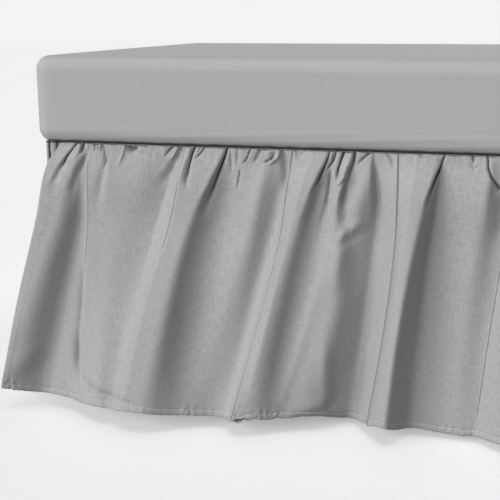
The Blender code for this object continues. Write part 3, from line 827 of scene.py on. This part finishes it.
def stitch_mesh(name, world, place):
    """Row of stitches on the hem: a low lozenge bead for each, laid along the cloth.

    A bead's ring stands at share s of the stitch, and its point at angle a lies at
    radius swell(s) (cos a across the stitch, and flat sin a + lift off the cloth).
    """
    row = int(np.argmin(np.abs(place[:, 0, 1] - (DROP - HEM_DEPTH))))
    line = world[row]
    run = np.concatenate([[0.0], np.cumsum(np.linalg.norm(np.diff(line, axis=0), axis=1))])
    middle = np.arange(STITCH_END * MM, run[-1] - STITCH_END * MM, STITCH_PITCH * MM)

    def read(at, points):
        return np.stack([np.interp(at, run, points[:, k]) for k in range(3)], axis=-1)

    half_length, radius = STITCH_LENGTH * MM / 2, STITCH_WIDTH * MM / 2
    forward = read(middle + half_length, line) - read(middle - half_length, line)
    below = read(middle, world[row + 2]) - read(middle, world[row - 2])
    normal = np.cross(below, forward)
    normal /= np.linalg.norm(normal, axis=1)[:, None]
    across = np.cross(forward, normal)
    across /= np.linalg.norm(across, axis=1)[:, None]
    share, swell = np.array(STITCH_RINGS).T[:, None, :, None, None]
    around = np.arange(STITCH_SIDES)[None, None, :, None] * math.tau / STITCH_SIDES
    spread = (np.cos(around) * across[:, None, None]
              + (STITCH_FLAT * np.sin(around) + STITCH_LIFT) * normal[:, None, None])
    ring = (read(middle, line)[:, None, None] + share * forward[:, None, None]
            + radius * swell * spread)

    count, rings, sides = ring.shape[:3]
    corner = np.arange(count * rings * sides).reshape(count, rings, sides)
    after = np.roll(corner, -1, axis=2)
    walls = np.stack([corner[:, :-1], after[:, :-1], after[:, 1:], corner[:, 1:]], axis=-1)
    faces = (walls.reshape(-1, 4).tolist() + corner[:, 0, ::-1].tolist()
             + corner[:, -1].tolist())
    mesh = bpy.data.meshes.new(name)
    mesh.from_pydata(ring.reshape(-1, 3).tolist(), [], faces)
    mesh.shade_smooth()
    return mesh


def make_ruffle(node, turn, cloth, thread, lines, puckers, seed, **folds):
    """One ruffle with its hem stitches, in place of the CAD node of the same name."""
    sizes = (DECK_SIZE.x, DECK_SIZE.y)
    across, deep = sizes if abs(math.sin(turn)) < 0.5 else sizes[::-1]
    points, place, painted_shade, splits = hanging_cloth(lines, puckers, seed, across / MM, **folds)
    world = turned(points, across, deep, turn)
    mesh = grid_mesh(f"{node}_cloth", world, place, painted_shade, splits)
    piece = add_piece(f"{node}_cloth", mesh, cloth)
    thicken = piece.modifiers.new("cloth thickness", "SOLIDIFY")
    thicken.thickness = CLOTH * MM
    thicken.offset = -1.0
    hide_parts(node)
    stitches = add_piece(f"{node}_hem_stitches",
                         stitch_mesh(f"{node}_hem_stitches", world, place), thread)


def make_front_ruffle(cloth, thread):
    """The front ruffle: its modelled folds, then plain ones to its right end."""
    fold_seed, pucker_seed, wave_seed = FRONT_SEEDS
    seam = DECK_SIZE.x / MM
    last = FRONT_FOLDS[-1].along[0]
    lines = plain_folds(last, seam - SEAM_END, seam, LONG_FAN, fold_seed)
    puckers = plain_puckers(last + PUCKER_AFTER_FOLDS, seam - PUCKER_MARGIN, pucker_seed)
    make_ruffle("ruffle_front", 0.0, cloth, thread, [*FRONT_FOLDS, *lines],
                [*FRONT_PUCKERS, *puckers], wave_seed, pressed=PRESSED_CREASES,
                plain_from=last, curled=True, laps=HEM_LAPS, short=HEM_SHORT)


def make_plain_ruffle(node, seam, fan, seed, turn, cloth, thread):
    """A plain ruffle; the left one's last line gives way to the end that wraps the corner."""
    lines = plain_ruffle_folds(seam, fan, seed)
    if node == "ruffle_left":
        lines[-1:] = LEFT_RUFFLE_END
    puckers = plain_puckers(PUCKER_MARGIN, seam - PUCKER_MARGIN, seed + PUCKER_SEED)
    make_ruffle(node, turn, cloth, thread, lines, puckers, seed + WAVE_SEED)


# ---------------------------------------------------------------- materials
def linear(hex_colour):
    """sRGB hex colour as linear RGBA."""
    channels = [int(hex_colour[i:i + 2], 16) / 255.0 for i in (1, 3, 5)]
    return [c / 12.92 if c <= 0.04045 else ((c + 0.055) / 1.055) ** 2.4
            for c in channels] + [1.0]


def add(tree, kind, inputs=None, **properties):
    """Add a shader node with its properties, and link its inputs or give them a value."""
    node = tree.nodes.new(kind)
    for name, value in properties.items():
        setattr(node, name, value)
    for name, value in (inputs or {}).items():
        if isinstance(value, bpy.types.NodeSocket):
            tree.links.new(value, node.inputs[name])
        else:
            node.inputs[name].default_value = value
    return node


def new_material(name, **finish):
    """A material with its Principled shader, whose sockets have the finish's values."""
    material = bpy.data.materials.new(name)
    material.use_nodes = True
    shader = material.node_tree.nodes["Principled BSDF"]
    for socket, value in finish.items():
        shader.inputs[socket.replace("_", " ")].default_value = value
    return material, material.node_tree, shader


def paint_shade(tree, colour, shader):
    """Base colour with painted shade: darkened towards grey where the points' attribute says."""
    pressed = add(tree, "ShaderNodeAttribute", attribute_name="painted shade")
    # Painted shade colour: the base colour is multiplied towards it.
    shade = add(tree, "ShaderNodeMix", {"Factor": pressed.outputs["Fac"], 6: colour,
                                        7: linear("#828282")},
                data_type="RGBA", blend_type="MULTIPLY")
    tree.links.new(shade.outputs[2], shader.inputs["Base Color"])


def cotton_percale():
    """Plain-weave cotton: matt, with faint slubs along both threads, a soft bloom and painted
    shade in its creases and along its seam.
    """
    material, tree, shader = new_material("grey cotton percale", Roughness=0.88,
                                          Specular_IOR_Level=0.25, Sheen_Weight=0.12,
                                          Sheen_Roughness=0.5)
    place = add(tree, "ShaderNodeUVMap", uv_map="cloth").outputs["UV"]
    wide, long = 1.0 / (SLUB_THREADS * THREAD * MM), 1.0 / (SLUB_LENGTH * MM)
    slubs = []
    for scale in ((long, wide, 1.0), (wide, long, 1.0)):
        stretch = add(tree, "ShaderNodeMapping", {"Vector": place, "Scale": scale})
        slubs.append(add(tree, "ShaderNodeTexNoise", {
            "Vector": stretch.outputs["Vector"], "Scale": 1.0, "Detail": 2.0}).outputs["Fac"])
    weave = add(tree, "ShaderNodeMath", {0: slubs[0], 1: slubs[1]}, operation="ADD").outputs[0]
    tone = add(tree, "ShaderNodeMapRange", {"Value": weave, "From Min": 0.7, "From Max": 1.3})
    colour = add(tree, "ShaderNodeMix", {"Factor": tone.outputs["Result"],
                                         6: linear("#A4A4A4"), 7: linear("#B8B8B8")},
                 data_type="RGBA")
    paint_shade(tree, colour.outputs[2], shader)
    relief = add(tree, "ShaderNodeBump", {"Height": weave, "Strength": 0.6,
                                          "Distance": SLUB_RELIEF * MM})
    tree.links.new(relief.outputs["Normal"], shader.inputs["Normal"])
    return material


def fitted_sheet_cotton():
    """The tight fitted sheet: the same cotton, pulled smooth, so its slubs hardly show, with
    painted shade along its lower edge.
    """
    material, tree, shader = new_material("grey fitted sheet cotton", Roughness=0.85,
                                          Specular_IOR_Level=0.25, Sheen_Weight=0.12)
    place = add(tree, "ShaderNodeTexCoord").outputs["Object"]
    scale = 1.0 / (SHEET_SLUB_THREADS * THREAD * MM)
    slubs = add(tree, "ShaderNodeTexNoise", {"Vector": place, "Scale": scale,
                                             "Detail": 3.0}).outputs["Fac"]
    colour = add(tree, "ShaderNodeMix", {"Factor": slubs, 6: linear("#B2B2B2"),
                                         7: linear("#C0C0C0")}, data_type="RGBA")
    paint_shade(tree, colour.outputs[2], shader)
    relief = add(tree, "ShaderNodeBump", {"Height": slubs, "Strength": 0.15,
                                          "Distance": SLUB_RELIEF * MM})
    tree.links.new(relief.outputs["Normal"], shader.inputs["Normal"])
    return material


def polyester_thread():
    """Sewing thread, lighter than the cloth and slightly glossy."""
    return new_material("light grey polyester thread", Base_Color=linear("#CECECE"),
                        Roughness=0.55)[0]


def painted_wood():
    """Satin white paint over planed wood, with the grain just telegraphing through."""
    material, tree, shader = new_material("satin white painted wood", Roughness=0.42)
    place = add(tree, "ShaderNodeTexCoord").outputs["Object"]
    across = 1.0 / (GRAIN_WIDTH * MM)
    stretch = add(tree, "ShaderNodeMapping", {
        "Vector": place, "Scale": (1.0 / (GRAIN_LENGTH * MM), across, across)})
    grain = add(tree, "ShaderNodeTexNoise", {"Vector": stretch.outputs["Vector"], "Scale": 1.0,
                                             "Detail": 4.0}).outputs["Fac"]
    colour = add(tree, "ShaderNodeMix", {"Factor": grain, 6: linear("#E6E3DC"),
                                         7: linear("#DEDAD2")}, data_type="RGBA")
    tree.links.new(colour.outputs[2], shader.inputs["Base Color"])
    ripple = add(tree, "ShaderNodeBump", {"Height": grain, "Strength": 0.2,
                                          "Distance": GRAIN_RELIEF * MM})
    tree.links.new(ripple.outputs["Normal"], shader.inputs["Normal"])
    return material


def studio_floor():
    """Pale matt studio floor, lit from below like a light table so that it stays pale."""
    return new_material("pale matt floor", Base_Color=linear("#F2F2F2"), Roughness=0.9,
                        Emission_Color=linear("#FFFFFF"), Emission_Strength=FLOOR_GLOW)[0]


# ---------------------------------------------------------------- mattress
def mattress_rings(low, high):
    """Each ring's inset and level, and its share of the outline, from below to above.

    The rings run from the middle of the underside, round the lower edge, up the side, round
    the upper edge and in to the middle of the top. Both edges are quarter circles.
    """
    quarter = np.linspace(0.0, math.pi / 2, EDGE_RINGS)
    drawn_in = MATTRESS_ROUND * (1 - np.sin(quarter))
    rise = MATTRESS_ROUND * (1 - np.cos(quarter))
    side = np.linspace(low + MATTRESS_ROUND, high - MATTRESS_ROUND, SIDE_RINGS)[1:-1]
    face = np.linspace(MIDDLE_SHARE, 1.0, FACE_RINGS)[:-1]
    inset = np.concatenate([MATTRESS_ROUND + 0.0 * face, drawn_in, 0.0 * side, rise,
                            MATTRESS_ROUND + 0.0 * face])
    level = np.concatenate([low + 0.0 * face, low + rise, side, high - drawn_in,
                            high + 0.0 * face])
    whole = np.ones(len(level) - 2 * len(face))
    return inset, level, np.concatenate([face, whole, face[::-1]])


def mattress_stations(length, width):
    """Places round the outline: the middle of a corner's arc, then the way out, x and y.

    Four corners' arcs with straight stretches between them, evenly divided.
    """
    arc = np.linspace(0.0, math.pi / 2, CORNER_STEPS + 1) - math.pi / 2
    corners = []
    for k, (sx, sy) in enumerate(((1, -1), (1, 1), (-1, 1), (-1, -1))):
        angle = arc + k * math.pi / 2
        corners.append(np.stack([sx * (length / 2 - MATTRESS_CORNER) + 0 * angle,
                                 sy * (width / 2 - MATTRESS_CORNER) + 0 * angle,
                                 np.cos(angle), np.sin(angle)], axis=-1))
    stations = []
    for corner, following, count in zip(corners, corners[1:] + corners[:1], STATIONS):
        share = np.linspace(0.0, 1.0, count + 1)[1:-1, None]
        stations += [corner, corner[-1] + share * (following[0] - corner[-1])]
    return np.concatenate(stations)


def mattress_mesh():
    """Mattress in its tight sheet: rings round a rectangle with round corners.

    A point is share * (arc's middle + (corner radius - inset + wrinkle) * way out), and the
    top rises by the crown times (1 - (2x/length)^2) (1 - (2y/width)^2).
    """
    length, width = MATTRESS_HIGH.x - MATTRESS_LOW.x, MATTRESS_HIGH.y - MATTRESS_LOW.y
    low, high = MATTRESS_LOW.z, MATTRESS_HIGH.z - MATTRESS_CROWN
    inset, level, share = mattress_rings(low, high)
    path = mattress_stations(length, width)
    above = (level - low) / MM
    run = (path[:, 0] - path[:, 1]) / MM
    begins, full, fades, ends = WRINKLE_ZONE
    wrinkles = wavy(above[None, :], run, random.Random(WRINKLE_SEED), WRINKLE).T
    shown = smooth_step(begins, full, above) * (1.0 - smooth_step(fades, ends, above))
    radius = MATTRESS_CORNER - inset[:, None] + wrinkles * shown[:, None] * MM
    x = (path[None, :, 0] + radius * path[None, :, 2]) * share[:, None]
    y = (path[None, :, 1] + radius * path[None, :, 3]) * share[:, None]
    crown = MATTRESS_CROWN * (1 - (2 * x / length) ** 2) * (1 - (2 * y / width) ** 2)
    z = level[:, None] + np.where(level[:, None] > high - MATTRESS_ROUND, crown, 0.0)
    points = np.stack([x + BED_MIDDLE.x, y + BED_MIDDLE.y, z], axis=-1)
    # Painted shade: a dark, uneven line up the mattress's lower edge where the gathers meet it.
    uneven = wavy(run, np.zeros(1), random.Random(CONTACT_SHADE_SEED), CONTACT_SHADE_WAVE)
    contact_shade = 1.0 - smooth_step(*CONTACT_SHADE_HEIGHT, above[:, None] + uneven)

    corner = np.arange(contact_shade.size).reshape(contact_shade.shape)
    after = np.roll(corner, -1, axis=1)
    walls = np.stack([corner[:-1], after[:-1], after[1:], corner[1:]], axis=-1)
    faces = walls.reshape(-1, 4).tolist() + [corner[0, ::-1].tolist(), corner[-1].tolist()]
    return painted_shade_mesh("mattress_sheet", points.reshape(-1, 3), faces, contact_shade.reshape(-1))


# ---------------------------------------------------------------- studio
def make_camera():
    """Camera low beside the bed's left half, looking down and to the left."""
    data = bpy.data.cameras.new("camera")
    data.sensor_width = SENSOR
    data.lens = SENSOR * FOCAL_PIXELS / IMAGE_PIXELS
    camera = bpy.data.objects.new("camera", data)
    bpy.context.scene.collection.objects.link(camera)
    camera.location = (CAMERA_PLACE[0] + BED_MIDDLE.x, CAMERA_PLACE[1] + BED_MIDDLE.y,
                       CAMERA_PLACE[2])
    camera.rotation_euler = (math.radians(90.0 - CAMERA_PITCH), 0.0, math.radians(CAMERA_YAW))
    bpy.context.scene.camera = camera


def soft_sun(name, azimuth, elevation, strength):
    """Large even studio light, as soft as a box that is SUN_SIZE degrees wide."""
    data = bpy.data.lights.new(name, "SUN")
    data.angle = math.radians(SUN_SIZE)
    data.energy = strength * math.pi
    light = bpy.data.objects.new(name, data)
    turn, climb = math.radians(azimuth), math.radians(elevation)
    toward = Vector((-math.sin(turn) * math.cos(climb), -math.cos(turn) * math.cos(climb),
                     math.sin(climb)))
    light.rotation_euler = toward.to_track_quat("Z", "Y").to_euler()
    bpy.context.scene.collection.objects.link(light)


def make_surround():
    """An even pale surround: dim as a light, and bright where the camera sees it."""
    world = bpy.data.worlds.new("pale surround")
    world.use_nodes = True
    tree = world.node_tree
    white = linear("#FFFFFF")
    fill = add(tree, "ShaderNodeBackground", {"Color": white, "Strength": SURROUND})
    pale = add(tree, "ShaderNodeBackground", {"Color": white, "Strength": BACKDROP})
    seen = add(tree, "ShaderNodeLightPath").outputs["Is Camera Ray"]
    mixed = add(tree, "ShaderNodeMixShader", {0: seen, 1: fill.outputs[0], 2: pale.outputs[0]})
    tree.links.new(mixed.outputs[0], tree.nodes["World Output"].inputs["Surface"])
    bpy.context.scene.world = world


def make_studio():
    """Floor, soft lights from the left, front, above and behind, surround and camera."""
    bpy.ops.mesh.primitive_plane_add(size=FLOOR_SIZE, location=(0.0, 0.0, -FLOOR_GAP))
    floor = bpy.context.object
    floor.name = "studio_floor"
    floor.data.materials.append(studio_floor())
    floor.visible_diffuse = False
    for light in LIGHTS:
        soft_sun(*light)
    make_surround()
    make_camera()
    bpy.context.scene.view_settings.view_transform = "Standard"


# ---------------------------------------------------------------- assembly
def finish_node(node, material):
    """Give a CAD node that stays in view its material."""
    node.data.materials.clear()
    node.data.materials.append(material)


def main():
    """The four ruffles, the mattress in its sheet, the deck, the painted bed and the studio."""
    cloth, thread = cotton_percale(), polyester_thread()
    sheet, paint = fitted_sheet_cotton(), painted_wood()
    make_front_ruffle(cloth, thread)
    for ruffle in PLAIN_RUFFLES:
        make_plain_ruffle(*ruffle, cloth, thread)

    mattress = add_piece("mattress_in_sheet", mattress_mesh(), sheet)
    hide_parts("mattress")
    for name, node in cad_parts.items():
        if name == "deck":
            finish_node(node, sheet)
        elif name.startswith(("bed_base", "leg")):
            finish_node(node, paint)
    make_studio()


main()
